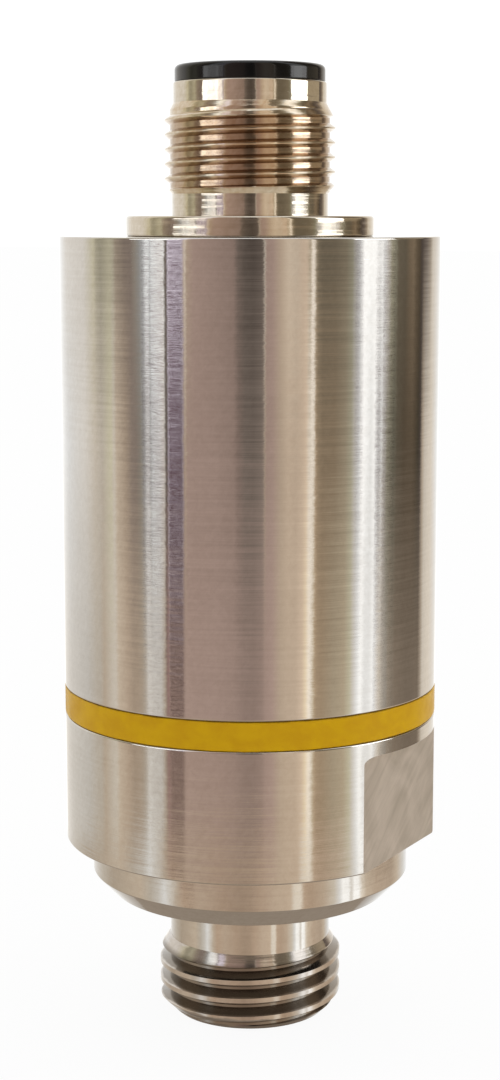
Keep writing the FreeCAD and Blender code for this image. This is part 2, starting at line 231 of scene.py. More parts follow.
def turnedMetal(name, bright, dull, roughness, slope=0.014, sway=0.002, rub=0.016):
    # Metal off the lathe, which mirrors sharply round the axis and softly along it. Slope is how far
    # its rings lean up or down, sway and rub are how far rings and rubbed marks lean sideways.
    material = startFinish(name, srgb(bright), roughness, 1.0, Anisotropic=turning["anisotropy"],
                           Anisotropic_Rotation=turning["anisotropyTurn"])
    tree, shader = material.node_tree, shaderOf(material)
    sideways = vectorMaths(tree, "CROSS_PRODUCT", (0, 0, 1), objectPoint(tree))
    around = vectorMaths(tree, "NORMALIZE", sideways)
    feed(tree, shader.inputs["Tangent"], around)
    rings, fineRings, swirl, patches = [grain(tree, **turning[name])
                                        for name in ("rings", "fineRings", "swirl", "patches")]
    rubbed = maths(tree, "MULTIPLY", maths(tree, "SUBTRACT", swirl, 0.5), rub)
    lean = maths(tree, "ADD", ranged(tree, fineRings, *middleSpan, -sway, sway), rubbed)
    upward = addNode(tree, "ShaderNodeCombineXYZ")
    feed(tree, upward.inputs["Z"], ranged(tree, rings, *wideSpan, -slope, slope))
    normal = addNode(tree, "ShaderNodeNewGeometry").outputs["Normal"]
    leaning = vectorMaths(tree, "ADD", normal, vectorMaths(tree, "SCALE", around, lean))
    leaning = vectorMaths(tree, "NORMALIZE", vectorMaths(tree, "ADD", leaning, upward.outputs[0]))
    emboss(tree, shader, fineRings, turning["ringRelief"], turning["ringDepth"], leaning)
    tone = weighted(tree, *zip((rings, patches, swirl), turning["toneShares"]))
    feed(tree, shader.inputs["Base Color"],
         blend(tree, ranged(tree, tone, *toneSpan), srgb(bright), srgb(dull)))
    low, high = turning["unevenGloss"]
    feed(tree, shader.inputs["Roughness"],
         ranged(tree, patches, *wideSpan, roughness * low, roughness * high))
    return material


# painted shade in the valleys of a thread, where shade falls between its flanks: none outside one radius,
# full inside the other, between two heights
studValleyShade = {
    "shadeFreeRadius": mountRadius("process_thread") - 0.04 * mm,
    "fullRadius": mountRadius("process_thread") - 0.16 * mm,
    "low": studEnd - mm,
    "high": -4.2 * mm,
    "colour": srgb("7a736a"),
    "shade": 0.75,
}
shellValleyShade = {
    "shadeFreeRadius": mountRadius("connector_thread") - 0.03 * mm,
    "fullRadius": mountRadius("connector_thread") - 0.2 * mm,
    "low": housingTop + 3.1 * mm,
    "high": shellTop - 2.3 * mm,
    "colour": srgb("94704f"),
    "shade": 0.5,
}
valleyShadeEdge = {
    "grain": {"scale": (900, 900, 700), "roughness": 0.6},
    "ragged": 0.25 * mm,
    "fade": 0.3 * mm,
}


def shadeThreadValleys(material, valleyShade):
    tree = material.node_tree
    height, radius = heightAndRadius(tree)
    edgeNoise = maths(tree, "SUBTRACT", grain(tree, **valleyShadeEdge["grain"]), 0.5)
    edge = maths(tree, "MULTIPLY", edgeNoise, valleyShadeEdge["ragged"])
    deep = ranged(tree, maths(tree, "ADD", radius, edge), valleyShade["shadeFreeRadius"], valleyShade["fullRadius"])
    low, high, fade = valleyShade["low"], valleyShade["high"], valleyShadeEdge["fade"]
    inside = maths(tree, "MULTIPLY", ranged(tree, height, low, low + fade),
                   ranged(tree, height, high, high - fade))
    # painted shade: darkens the thread's valleys towards the root
    amount = maths(tree, "MULTIPLY", maths(tree, "MULTIPLY", deep, inside), valleyShade["shade"])
    repaint(material, amount, valleyShade["colour"])
    return material


mottling = {
    "grain": {"roughness": 0.55, "distortion": 0.3},
    "relief": 0.6,
}


def mottled(name, first, second, scale, roughness, depth, metallic=0.0, **sockets):
    # two close tones in a grain, with uneven gloss and a slight relief
    material = startFinish(name, srgb(first), roughness[0], metallic, **sockets)
    tree, shader = material.node_tree, shaderOf(material)
    tone = grain(tree, scale, **mottling["grain"])
    feed(tree, shader.inputs["Base Color"],
         blend(tree, ranged(tree, tone, *middleSpan), srgb(first), srgb(second)))
    feed(tree, shader.inputs["Roughness"], ranged(tree, tone, *wideSpan, *roughness))
    emboss(tree, shader, tone, mottling["relief"], depth)
    return material


# painted shade along the ring's edges, where it meets the parts above and below
markerEdgeShade = {
    "grain": {"scale": (900, 900, 900), "detail": 3.0, "roughness": 0.6},
    "width": (0.04 * mm, 0.14 * mm),    # of the dark line at both edges
    "shade": 0.8,
    "colour": srgb("4a3410"),
}


def makeMarkerYellow():
    material = mottled("marker_yellow", "dbab0c", "d29f0a", (700, 700, 900), (0.28, 0.42), 0.01 * mm,
                       Specular_IOR_Level=0.1)
    tree = material.node_tree
    height, _ = heightAndRadius(tree)
    fromEdge = maths(tree, "MINIMUM", maths(tree, "SUBTRACT", height, shoulder),
                     maths(tree, "SUBTRACT", housingBottom, height))
    edgeWidth = ranged(tree, grain(tree, **markerEdgeShade["grain"]), *wideSpan, *markerEdgeShade["width"])
    # painted shade: a dark line along both edges of the ring
    repaint(material, ranged(tree, fromEdge, edgeWidth, 0.0, 0.0, markerEdgeShade["shade"]),
            markerEdgeShade["colour"])
    return material


milling = {
    "arcs": {"scale": (300, 170, 1500), "turn": (0.6, 0, 0), "distortion": 1.0},
    "clouds": {"scale": (260, 260, 260), "detail": 3.0, "distortion": 0.8},
    "shares": (0.4, 0.6),    # of arcs and clouds
    "tones": (srgb("d4c9bc"), srgb("b7ac9d")),
    "metallic": 0.55,
    "roughness": (0.38, 0.55),
    "relief": 0.4,
    "depth": 0.02 * mm,
}


def makeMilledSteel():
    # side of a cutter drawn across the flat: faint slanting arcs, some smudges
    material = startFinish("flat_steel_milled", milling["tones"][0], milling["roughness"][0],
                           milling["metallic"])
    tree, shader = material.node_tree, shaderOf(material)
    marks = [grain(tree, **milling[name]) for name in ("arcs", "clouds")]
    tone = weighted(tree, *zip(marks, milling["shares"]))
    feed(tree, shader.inputs["Base Color"], blend(tree, ranged(tree, tone, *toneSpan), *milling["tones"]))
    feed(tree, shader.inputs["Roughness"], ranged(tree, tone, *middleSpan, *milling["roughness"]))
    emboss(tree, shader, tone, milling["relief"], milling["depth"])
    return material


board = {
    "lanes": ((900, 60, 60), (60, 900, 900)),    # features per metre, along and across
    "laneEdge": (0.56, 0.58),
    "laneShade": 0.6,
    "laneColour": srgb("2f8a4e"),
}


def makeCircuitBoard():
    # solder mask over glass cloth, with the copper tracks showing through as lighter lanes
    material = mottled("board_green", "0f5a32", "0c4c2b", (2500, 2500, 2500), (0.3, 0.42), 0.01 * mm)
    tree = material.node_tree
    lanes = [ranged(tree, grain(tree, scale, 0.0), *board["laneEdge"]) for scale in board["lanes"]]
    tracks = maths(tree, "MULTIPLY", maths(tree, "MAXIMUM", *lanes), board["laneShade"])
    repaint(material, tracks, board["laneColour"])
    return material


housingSteel = turnedMetal("housing_steel_turned", "dcdad7", "d0cdc9", 0.035)
collarSteel = turnedMetal("collar_steel_turned", "dbd9d5", "cfcbc5", 0.07, slope=0.007)
# both threads get painted shade in their valleys
studSteel = shadeThreadValleys(turnedMetal("stud_steel_threaded", "d6d1cc", "c2bbb4", 0.14, slope=0.05), studValleyShade)
nickelBrass = turnedMetal("shell_brass_nickelled", "dfd8cc", "cdc3b2", 0.08,
                          slope=0.03, sway=0.004, rub=0.03)
shellThread = shadeThreadValleys(turnedMetal("shell_thread_valley_shaded", "e4dccd", "cdb99e", 0.14,
                                      slope=0.08, sway=0.01, rub=0.06), shellValleyShade)
milledSteel = makeMilledSteel()
markerYellow = makeMarkerYellow()
insertBlack = mottled("insert_black", "09090a", "101011", (900, 900, 900), (0.07, 0.14), 0.006 * mm,
                      Specular_IOR_Level=0.4)
pinGold = mottled("pin_gold", "e2b65c", "cf9f45", (400, 400, 2600), (0.15, 0.3), 0.004 * mm, 1.0)

# finishes of the pieces inside, by the record's slots
innerFinishes = {
    "seal_rubber": mottled("seal_black_rubber", "191918", "262423", (1600, 1600, 1600), (0.5, 0.75),
                           0.02 * mm),
    "cell_steel": turnedMetal("cell_steel_ground", "d4d3d0", "bfbdb9", 0.25),
    "clamp_brass": turnedMetal("clamp_brass_turned", "d9b25c", "c29a48", 0.25),
    "carrier_plastic": mottled("carrier_natural", "dcd8cb", "cfc9b8", (500, 500, 500), (0.4, 0.6),
                               0.02 * mm),
    "sleeve_film": mottled("sleeve_amber_film", "d9c07c", "cbae66", (300, 300, 40), (0.18, 0.3),
                           0.01 * mm),
    "circuit_board": makeCircuitBoard(),
    "strip_film": mottled("strip_amber_copper", "b8752a", "7c4415", (4200, 30, 30), (0.25, 0.4),
                          0.01 * mm),
    "chip_plastic": mottled("chip_black_moulded", "1d1d1e", "2b2b2c", (3500, 3500, 3500), (0.5, 0.7),
                            0.01 * mm),
    "capacitor_ceramic": mottled("capacitor_tan_ceramic", "a98a68", "94755a", (2600, 2600, 2600),
                                 (0.3, 0.5), 0.01 * mm),
    "tin_plate": mottled("pin_tin_plated", "cfcfcc", "b5b4b0", (1500, 1500, 400), (0.25, 0.4),
                         0.005 * mm, 1.0),
    "nickel_brass": nickelBrass,
}
print("finishes made")


cornerSteps = 5
sharpAngle = math.radians(22)
seamGap = 1e-6
guardGap = 0.02 * mm    # a ring this close to each arc keeps the long walls shading true


def addObject(name, data):
    item = bpy.data.objects.new(name, data)
    bpy.context.collection.objects.link(item)
    return item


def asMesh(name, shape):
    # plain mesh of a bmesh, which is freed
    mesh = bpy.data.meshes.new(name)
    shape.to_mesh(mesh)
    shape.free()
    return mesh


def evaluatedMesh(item):
    return bpy.data.meshes.new_from_object(item.evaluated_get(bpy.context.evaluated_depsgraph_get()))


def softSection(corners):
    # half-section points, with an arc at each corner that gives a third number, its radius
    points = []
    for index, corner in enumerate(corners):
        here = Vector(corner[:2])
        if len(corner) == 2:
            points.append(here)
            continue
        back = (Vector(corners[index - 1][:2]) - here).normalized()
        ahead = (Vector(corners[(index + 1) % len(corners)][:2]) - here).normalized()
        half = back.angle(ahead) / 2
        centre = here + (back + ahead).normalized() * corner[2] / math.sin(half)
        reach = corner[2] / math.tan(half)
        first = (here + back * reach - centre).normalized()
        last = (here + ahead * reach - centre).normalized()
        points.append(here + back * (reach + guardGap))
        for step in range(cornerSteps + 1):
            points.append(centre + first.slerp(last, step / cornerSteps) * corner[2])
        points.append(here + ahead * (reach + guardGap))
    return points


def turnedMesh(name, corners, columns, closed=True):
    # half-section carried round the axis
    shape = bmesh.new()
    rings = []
    for radius, height in softSection(corners):
        turns = [fullTurn * column / columns for column in range(columns if radius > 0 else 1)]
        places = [(radius * math.cos(turn), radius * math.sin(turn), height) for turn in turns]
        rings.append([shape.verts.new(place) for place in places])
    follows = rings[1:] + rings[:1] if closed else rings[1:]
    for low, high in zip(rings, follows):
        for column in range(columns):
            after = column + 1
            around = [low[column % len(low)], low[after % len(low)],
                      high[after % len(high)], high[column % len(high)]]
            around = list(dict.fromkeys(around))
            if len(around) > 2:
                shape.faces.new(around)
    bmesh.ops.recalc_face_normals(shape, faces=shape.faces)
    return asMesh(name, shape)


def sewn(name, parts):
    # one closed mesh of several that meet edge to edge; parts are (mesh, finish)
    shape = bmesh.new()
    for number, (mesh, _) in enumerate(parts):
        known = len(shape.faces)
        shape.from_mesh(mesh)
        shape.faces.ensure_lookup_table()
        for face in shape.faces[known:]:
            face.material_index = number
    bmesh.ops.remove_doubles(shape, verts=shape.verts, dist=seamGap)
    bmesh.ops.recalc_face_normals(shape, faces=shape.faces)
    whole = asMesh(name, shape)
    for _, finish in parts:
        whole.materials.append(finish)
    return whole


def makePiece(name, mesh, finish=None):
    if finish:
        mesh.materials.clear()
        mesh.materials.append(finish)
    mesh.shade_smooth()
    mesh.set_sharp_from_angle(angle=sharpAngle)
    return addObject(name, mesh)


def boxMesh(name, low, high):
    shape = bmesh.new()
    bmesh.ops.create_cube(shape, size=1)
    for vertex in shape.verts:
        for axis in range(3):
            vertex.co[axis] = high[axis] if vertex.co[axis] > 0 else low[axis]
    return asMesh(name, shape)


def combined(mesh, tool, operation):
    # boolean of two meshes, as a new mesh
    first = addObject("work", mesh)
    second = addObject("tool", tool)
    change = first.modifiers.new("change", "BOOLEAN")
    change.object = second
    change.operation = operation
    change.solver = "EXACT"
    change.material_mode = "TRANSFER"
    result = evaluatedMesh(first)
    for item in (first, second):
        bpy.data.objects.remove(item)
    return result


def settle(piece, slot, *nodes):
    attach(piece, "root")
    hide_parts(*nodes)


def newTree(name, inputs):
    # geometry tree with a mesh output and named inputs of (name, kind, value)
    tree = bpy.data.node_groups.new(name, "GeometryNodeTree")
    tree.interface.new_socket("Geometry", in_out="INPUT", socket_type="NodeSocketGeometry")
    for label, kind, value in inputs:
        socket = tree.interface.new_socket(label, in_out="INPUT", socket_type=kind)
        if value is not None:
            socket.default_value = value
    tree.interface.new_socket("Geometry", in_out="OUTPUT", socket_type="NodeSocketGeometry")
    return tree, addNode(tree, "NodeGroupInput").outputs


def closeTree(tree, geometry, finish):
    # ends a tree the way the export needs it
    real = addNode(tree, "GeometryNodeRealizeInstances")
    painted = addNode(tree, "GeometryNodeSetMaterial")
    result = addNode(tree, "NodeGroupOutput")
    tree.links.new(geometry, real.inputs["Geometry"])
    tree.links.new(real.outputs["Geometry"], painted.inputs["Geometry"])
    tree.links.new(finish, painted.inputs["Material"])
    tree.links.new(painted.outputs["Geometry"], result.inputs[0])


def grownMesh(tree, settings, start=None):
    # plain mesh that a tree makes from its settings, by input name
    holder = addObject("grower", start or bpy.data.meshes.new("seed"))
    grow = holder.modifiers.new("grow", "NODES")
    grow.node_group = tree
    for item in tree.interface.items_tree:
        if item.in_out == "INPUT" and item.name in settings:
            grow[item.identifier] = settings[item.name]
    mesh = evaluatedMesh(holder)
    bpy.data.objects.remove(holder)
    return mesh


def threadTree():
    # helical thread between two levels, cut back by a cone at each end
    length = "NodeSocketFloat"
    tree, given = newTree("screwThread", [
        ("Low", length, 0.0), ("High", length, 6 * mm),
        ("Crest Radius", length, 6 * mm), ("Root Radius", length, 5.4 * mm),
        ("Low Radius", length, 5.4 * mm), ("High Radius", length, 5.4 * mm),
        ("Low Cone", length, 0.5 * mm), ("High Cone", length, 0.5 * mm),
        ("Pitch", length, 1 * mm), ("Turn Offset", length, 0.0),
        ("Crest Share", length, 0.125), ("Root Share", length, 0.25),
        ("Columns", "NodeSocketInt", 192), ("Rows Per Turn", "NodeSocketInt", 16),
        ("Finish", "NodeSocketMaterial", None),
    ])
    pitch, offset = given["Pitch"], given["Turn Offset"]

    def calc(operation, first, second=0.0):
        return maths(tree, operation, first, second)

    # first row: the crest line a full turn or more below the low level
    turnsLow = calc("ADD", calc("DIVIDE", given["Low"], pitch), offset)
    firstTurn = calc("SUBTRACT", calc("FLOOR", turnsLow), calc("ADD", offset, 1.0))
    start = calc("MULTIPLY", firstTurn, pitch)
    turns = calc("CEIL", calc("DIVIDE", calc("SUBTRACT", given["High"], start), pitch))
    rows = calc("MULTIPLY", turns, given["Rows Per Turn"])
    grid = addNode(tree, "GeometryNodeMeshGrid")
    feed(tree, grid.inputs["Size X"], 1.0)
    feed(tree, grid.inputs["Size Y"], 1.0)
    feed(tree, grid.inputs["Vertices X"], calc("ADD", given["Columns"], 1.0))
    feed(tree, grid.inputs["Vertices Y"], calc("ADD", rows, 1.0))
    place = addNode(tree, "ShaderNodeSeparateXYZ")
    tree.links.new(addNode(tree, "GeometryNodeInputPosition").outputs[0], place.inputs[0])
    around = calc("ADD", place.outputs["X"], 0.5)
    up = calc("MULTIPLY", calc("ADD", place.outputs["Y"], 0.5), turns)
    climb = calc("MULTIPLY", calc("ADD", up, around), pitch)
    height = calc("MINIMUM", calc("MAXIMUM", calc("ADD", start, climb), given["Low"]), given["High"])
    phase = calc("SUBTRACT", calc("ADD", calc("DIVIDE", height, pitch), offset), around)
    fromCrest = calc("PINGPONG", phase, 0.5)
    rootStart = calc("SUBTRACT", 0.5, calc("MULTIPLY", given["Root Share"], 0.5))
    flank = ranged(tree, fromCrest, calc("MULTIPLY", given["Crest Share"], 0.5), rootStart,
                   given["Crest Radius"], given["Root Radius"])

    def cone(endRadius, away, coneLength):
        slope = calc("DIVIDE", calc("SUBTRACT", given["Crest Radius"], endRadius), coneLength)
        return calc("ADD", endRadius, calc("MULTIPLY", away, slope))

    lowCone = cone(given["Low Radius"], calc("SUBTRACT", height, given["Low"]), given["Low Cone"])
    highCone = cone(given["High Radius"], calc("SUBTRACT", given["High"], height), given["High Cone"])
    radius = calc("MINIMUM", flank, calc("MINIMUM", lowCone, highCone))
    angle = calc("MULTIPLY", around, fullTurn)
    point = addNode(tree, "ShaderNodeCombineXYZ")
    feed(tree, point.inputs["X"], calc("MULTIPLY", radius, calc("COSINE", angle)))
    feed(tree, point.inputs["Y"], calc("MULTIPLY", radius, calc("SINE", angle)))
    feed(tree, point.inputs["Z"], height)
    bent = addNode(tree, "GeometryNodeSetPosition")
    tree.links.new(grid.outputs["Mesh"], bent.inputs["Geometry"])
    tree.links.new(point.outputs[0], bent.inputs["Position"])
    closed = addNode(tree, "GeometryNodeMergeByDistance")
    closed.inputs["Distance"].default_value = seamGap
    tree.links.new(bent.outputs["Geometry"], closed.inputs["Geometry"])
    closeTree(tree, closed.outputs["Geometry"], given["Finish"])
    return tree


def ringTree():
    # copies of a piece, evenly spaced round a circle
    tree, given = newTree("ringOfCopies", [
        ("Count", "NodeSocketInt", 4), ("Circle Radius", "NodeSocketFloat", 2.5 * mm),
        ("First Angle", "NodeSocketFloat", 0.0), ("Finish", "NodeSocketMaterial", None),
    ])
    circle = addNode(tree, "GeometryNodeMeshCircle")
    feed(tree, circle.inputs["Vertices"], given["Count"])
    feed(tree, circle.inputs["Radius"], given["Circle Radius"])
    turn = addNode(tree, "ShaderNodeCombineXYZ")
    feed(tree, turn.inputs["Z"], given["First Angle"])
    turned = addNode(tree, "GeometryNodeTransform")
    tree.links.new(circle.outputs["Mesh"], turned.inputs["Geometry"])
    tree.links.new(turn.outputs[0], turned.inputs["Rotation"])
    copies = addNode(tree, "GeometryNodeInstanceOnPoints")
    tree.links.new(turned.outputs["Geometry"], copies.inputs["Points"])
    tree.links.new(given["Geometry"], copies.inputs["Instance"])
    closeTree(tree, copies.outputs["Instances"], given["Finish"])
    return tree


screwThread = threadTree()
ringOfCopies = ringTree()
print("node trees built")


port = {
    "columns": 192,
    "pitch": 1.337 * mm,
    "turnOffset": 0.884,
    "crestShare": 0.25,
    "rootShare": 0.125,
    "studChamfer": 1.0 * mm,
    "relief": 5.8 * mm,
    "reliefLength": 3.66 * mm,
    "runOut": 1.25 * mm,
    "inletChamfer": 0.4 * mm,
    "inletEdge": 0.05 * mm,
    "flangeRadius": 11.4 * mm,
    "flangeHeight": 3.88 * mm,
    "flangeChamfer": (1.35 * mm, 1.4 * mm),
    "chamferEdges": (0.1 * mm, 0.15 * mm),
    "flatTop": 12.0 * mm,
    "flatRoot": 0.5 * mm,
    "flatOverrun": 0.001 * mm,    # how far the cutter goes below the flat
    "spigotPlay": 0.05 * mm,
    "spigotLead": 0.4 * mm,
    "sealGrooveDepth": 1.15 * mm,
    "clampRecess": 0.4 * mm,      # bore of the clamp ring, carried on below it
    "pocketPlay": 0.1 * mm,
}


def flatCutter(flat, side):
    # outline of one spanner flat's cut, carried across the body
    low, high, root = port["flangeHeight"] - port["flatOverrun"], port["flatTop"], port["flatRoot"]
    outside = 2 * bodyRadius
    outline = [(flat, low), (flat, high - root)]
    for step in range(1, cornerSteps + 1):
        turn = math.pi / 2 * step / cornerSteps
        outline.append((flat + root - root * math.cos(turn), high - root + root * math.sin(turn)))
    outline += [(outside, high), (outside, low)]
    shape = bmesh.new()
    ends = [[shape.verts.new((side * x, y, z)) for x, z in outline] for y in (-bodyRadius, bodyRadius)]
    for end in ends:
        shape.faces.new(end)
    for index in range(len(outline)):
        after = (index + 1) % len(outline)
        shape.faces.new((ends[0][index], ends[0][after], ends[1][after], ends[1][index]))
    bmesh.ops.recalc_face_normals(shape, faces=shape.faces)
    mesh = asMesh("flatCutter", shape)
    mesh.materials.append(milledSteel)
    return mesh


def makePort():
    threadRadius = mountRadius("process_thread")
    inlet = mountRadius("pressure_inlet")
    threadTop = -port["reliefLength"]
    tip = threadRadius - port["studChamfer"]
    thread = grownMesh(screwThread, {
        "Low": studEnd, "High": threadTop, "Crest Radius": threadRadius, "Root Radius": port["relief"],
        "Low Radius": tip, "High Radius": port["relief"],
        "Low Cone": port["studChamfer"], "High Cone": port["runOut"],
        "Pitch": port["pitch"], "Turn Offset": port["turnOffset"],
        "Crest Share": port["crestShare"], "Root Share": port["rootShare"],
        "Columns": port["columns"], "Finish": studSteel,
    })
    sealTop = topOf("port_seal_ring")
    sealGroove = reachOf("port_seal_ring") + port["pocketPlay"]
    spigot = bodyRadius - housingWall - port["spigotPlay"]
    spigotTop = topOf("pressure_port")
    ringLow = bottomOf("housing_seal_ring") - port["spigotPlay"]
    ringHigh = topOf("housing_seal_ring") + port["spigotPlay"]
    ringFloor = spigot - port["sealGrooveDepth"]
    clampBore = reachOf("cell_clamp_ring") + port["spigotPlay"]
    clampStep = bottomOf("cell_clamp_ring") - port["clampRecess"]
    pocket = reachOf("sensor_cell") + port["pocketPlay"]
    cellFloor = bottomOf("sensor_cell")
    cellSealLow = bottomOf("cell_seal_ring")
    chamferWidth, chamferHeight = port["flangeChamfer"]
    lowEdge, highEdge = port["chamferEdges"]
    body = turnedMesh("portBody", [
        (port["relief"], threadTop),
        (port["relief"], sealTop),
        (sealGroove, sealTop),
        (sealGroove, 0),
        (port["flangeRadius"] - chamferWidth, 0, lowEdge),
        (port["flangeRadius"], chamferHeight, highEdge),
        (port["flangeRadius"], port["flangeHeight"]),
        (bodyRadius, port["flangeHeight"], edgeBreak),
        (bodyRadius, shoulder, edgeBreak),
        (spigot, shoulder),
        (spigot, ringLow),
        (ringFloor, ringLow),
        (ringFloor, ringHigh),
        (spigot, ringHigh),
        (spigot, spigotTop - port["spigotLead"]),
        (spigot - port["spigotLead"], spigotTop),
        (clampBore, spigotTop),
        (clampBore, clampStep),
        (pocket, clampStep),
        (pocket, cellFloor),
        (reachOf("cell_seal_ring"), cellFloor),
        (reachOf("cell_seal_ring"), cellSealLow),
        (inlet, cellSealLow),
        (inlet, studEnd + port["inletChamfer"], port["inletEdge"]),
        (inlet + port["inletChamfer"], studEnd, port["inletEdge"]),
        (tip, studEnd),
    ], port["columns"], closed=False)
    whole = sewn("pressurePort", [(body, collarSteel), (thread, studSteel)])
    flat = abs(mounts["spanner_flat_right"]["pos_m"][0])
    for side in (-1, 1):
        whole = combined(whole, flatCutter(flat, side), "DIFFERENCE")
    settle(makePiece("pressurePort", whole), "port_steel", "pressure_port")


makePort()
print("pressure port made")


markerRing = {
    "columns": 288,
    "edge": 0.16 * mm,
}


def makeMarker():
    bore = bodyRadius - housingWall
    ring = turnedMesh("markerRing", [
        (bore, shoulder),
        (bodyRadius, shoulder, markerRing["edge"]),
        (bodyRadius, housingBottom, markerRing["edge"]),
        (bore, housingBottom),
    ], markerRing["columns"])
    settle(makePiece("markerRing", ring, markerYellow), "marker_plastic", "marker_ring")


housing = {
    "columns": 288,
    "hole": 7.2 * mm,    # for the connector's shank
}


def makeHousing():
    bore = bodyRadius - housingWall
    capUnder = topOf("connector_lock_nut")
    cup = turnedMesh("housing", [
        (bore, housingBottom),
        (bodyRadius, housingBottom, edgeBreak),
        (bodyRadius, housingTop, edgeBreak),
        (housing["hole"], housingTop),
        (housing["hole"], capUnder),
        (bore, capUnder),
    ], housing["columns"])
    settle(makePiece("housingCup", cup, housingSteel), "housing_steel", "housing")


makeMarker()
makeHousing()
print("marker ring and housing made")


shell = {
    "columns": 192,
    "pitch": 1.0 * mm,
    "turnOffset": 0.861,
    "crestShare": 0.1,
    "rootShare": 0.38,
    "threadDepth": 0.38 * mm,
    "flangeHeight": 1.39 * mm,
    "flangeEdge": 0.2 * mm,
    "neckDepth": 0.5 * mm,
    "neckLength": 1.5 * mm,
    "runOut": 0.6 * mm,
    "threadLength": 5.05 * mm,
    "leadIn": 1.15 * mm,
    "bandDepth": 0.62 * mm,
    "bore": 4.75 * mm,
    "shank": 7.15 * mm,
    "sealGrooveDepth": 0.9 * mm,
}


def makeShell():
    crest = mountRadius("connector_thread")
    flange = reachOf("connector_shell")
    flangeTop = housingTop + shell["flangeHeight"]
    neck = crest - shell["neckDepth"]
    neckTop = flangeTop + shell["neckLength"]
    band = crest - shell["bandDepth"]
    bandBottom = neckTop + shell["threadLength"] + shell["leadIn"]
    sealRadius = reachOf("insert_seal_ring")
    sealTop = topOf("insert_seal_ring")
    grooveTop = topOf("connector_seal_ring")
    groove = shell["shank"] + shell["sealGrooveDepth"]
    thread = grownMesh(screwThread, {
        "Low": neckTop, "High": bandBottom, "Crest Radius": crest,
        "Root Radius": crest - shell["threadDepth"],
        "Low Radius": neck, "High Radius": band,
        "Low Cone": shell["runOut"], "High Cone": shell["leadIn"],
        "Pitch": shell["pitch"], "Turn Offset": shell["turnOffset"],
        "Crest Share": shell["crestShare"], "Root Share": shell["rootShare"],
        "Columns": shell["columns"], "Finish": shellThread,
    })
    rest = turnedMesh("shellBody", [
        (band, bandBottom),
        (band, shellTop, edgeBreak),
        (shell["bore"], shellTop),
        (shell["bore"], sealTop),
        (sealRadius, sealTop),
        (sealRadius, shellRear),
        (shell["shank"], shellRear, edgeBreak),
        (shell["shank"], grooveTop),
        (groove, grooveTop),
        (groove, housingTop),
        (flange, housingTop, edgeBreak),
        (flange, flangeTop, shell["flangeEdge"]),
        (neck, flangeTop),
        (neck, neckTop),
    ], shell["columns"], closed=False)
    whole = sewn("connectorShell", [(rest, nickelBrass), (thread, shellThread)])
    settle(makePiece("connectorShell", whole), "nickel_brass", "connector_shell")


insert = {
    "columns": 192,
    "play": 0.05 * mm,
    "cup": 4.2 * mm,
    "cupDepth": 8.3 * mm,
    "rimEdges": (0.08 * mm, 0.35 * mm, 0.15 * mm),    # at its foot, outside and inside
    "key": (1.0 * mm, 0.6 * mm, 1.0 * mm),            # width, height, distance below the rim
    "keyRoot": 0.1 * mm,                              # how deep the key stands in the wall
}


def makeInsert():
    top = topOf("connector_insert")
    rim = reachOf("connector_insert")
    base = shell["bore"] - insert["play"]
    floor = top - insert["cupDepth"]
    footEdge, outerEdge, innerEdge = insert["rimEdges"]
    cup = turnedMesh("insertBody", [
        (0, shellRear),
        (base, shellRear),
        (base, shellTop),
        (rim, shellTop, footEdge),
        (rim, top, outerEdge),
        (insert["cup"], top, innerEdge),
        (insert["cup"], floor),
        (0, floor),
    ], insert["columns"], closed=False)
    keyWidth, keyHeight, keyDrop = insert["key"]
    key = boxMesh("key", (-keyWidth / 2, insert["cup"] - keyHeight, floor),
                  (keyWidth / 2, insert["cup"] + insert["keyRoot"], top - keyDrop))
    whole = combined(cup, key, "UNION")
    settle(makePiece("connectorInsert", whole, insertBlack), "insert_plastic", "connector_insert")


pins = {
    "columns": 32,
    "count": 4,
    "firstAngle": fullTurn / 8,
    "contact": 0.5 * mm,
    "shank": 0.7 * mm,
    "tail": 0.3 * mm,
    "tip": 0.25 * mm,
    "taper": 0.4 * mm,
    "taperEdges": (0.3 * mm, 0.1 * mm),
}


def makePins():
    low, high = bottomOf("contact_pin_1"), topOf("contact_pin_1")
    floor = topOf("connector_insert") - insert["cupDepth"]
    lowEdge, highEdge = pins["taperEdges"]
    single = turnedMesh("contactPin", [
        (0, low),
        (pins["tail"], low),
        (pins["tail"], shellRear),
        (pins["shank"], shellRear),
        (pins["shank"], floor),
        (pins["contact"], floor),
        (pins["contact"], high - pins["taper"], lowEdge),
        (pins["tip"], high, highEdge),
        (0, high),
    ], pins["columns"], closed=False)
    circle = mounts["contact_pins"]["dims"]["pcd_mm"] / 2 * mm
    ring = grownMesh(ringOfCopies, {
        "Count": pins["count"], "Circle Radius": circle, "First Angle": pins["firstAngle"],
        "Finish": pinGold,
    }, single)
    nodes = [f"contact_pin_{number}" for number in range(1, pins["count"] + 1)]
    settle(makePiece("contactPins", ring, pinGold), "gold_pin", *nodes)


makeShell()
makeInsert()
makePins()
print("plug connector made")


def finishInside():
    # the pieces that stay as the frame has them; the shell has a piece of its own by now
    for part in frame["record"]["subparts"]:
        slot = part["material_slot"]
        if slot in innerFinishes and part["node"] != "connector_shell":
            mesh = frame["nodes"][part["node"]].data
            mesh.materials.clear()
            mesh.materials.append(innerFinishes[slot])


finishInside()
print("inner pieces finished")


view = {
    "azimuth": math.radians(29),
    "distance": 150.14 * mm,
    "height": 48.34 * mm,
    "pitch": math.radians(8.74),
    "lens": 70.76,
    "sensor": 36,
    "clipStart": 10 * mm,
}


def makeCamera():
    lens = bpy.data.cameras.new("camera")
    lens.lens = view["lens"]
    lens.sensor_width = view["sensor"]
    lens.clip_start = view["clipStart"]
    camera = addObject("camera", lens)
    across, azimuth = view["distance"], view["azimuth"]
    camera.location = (across * math.sin(azimuth), -across * math.cos(azimuth), view["height"])
    camera.rotation_euler = (math.pi / 2 - view["pitch"], 0, azimuth)
    bpy.context.scene.camera = camera
    bpy.context.scene.view_settings.view_transform = "Standard"


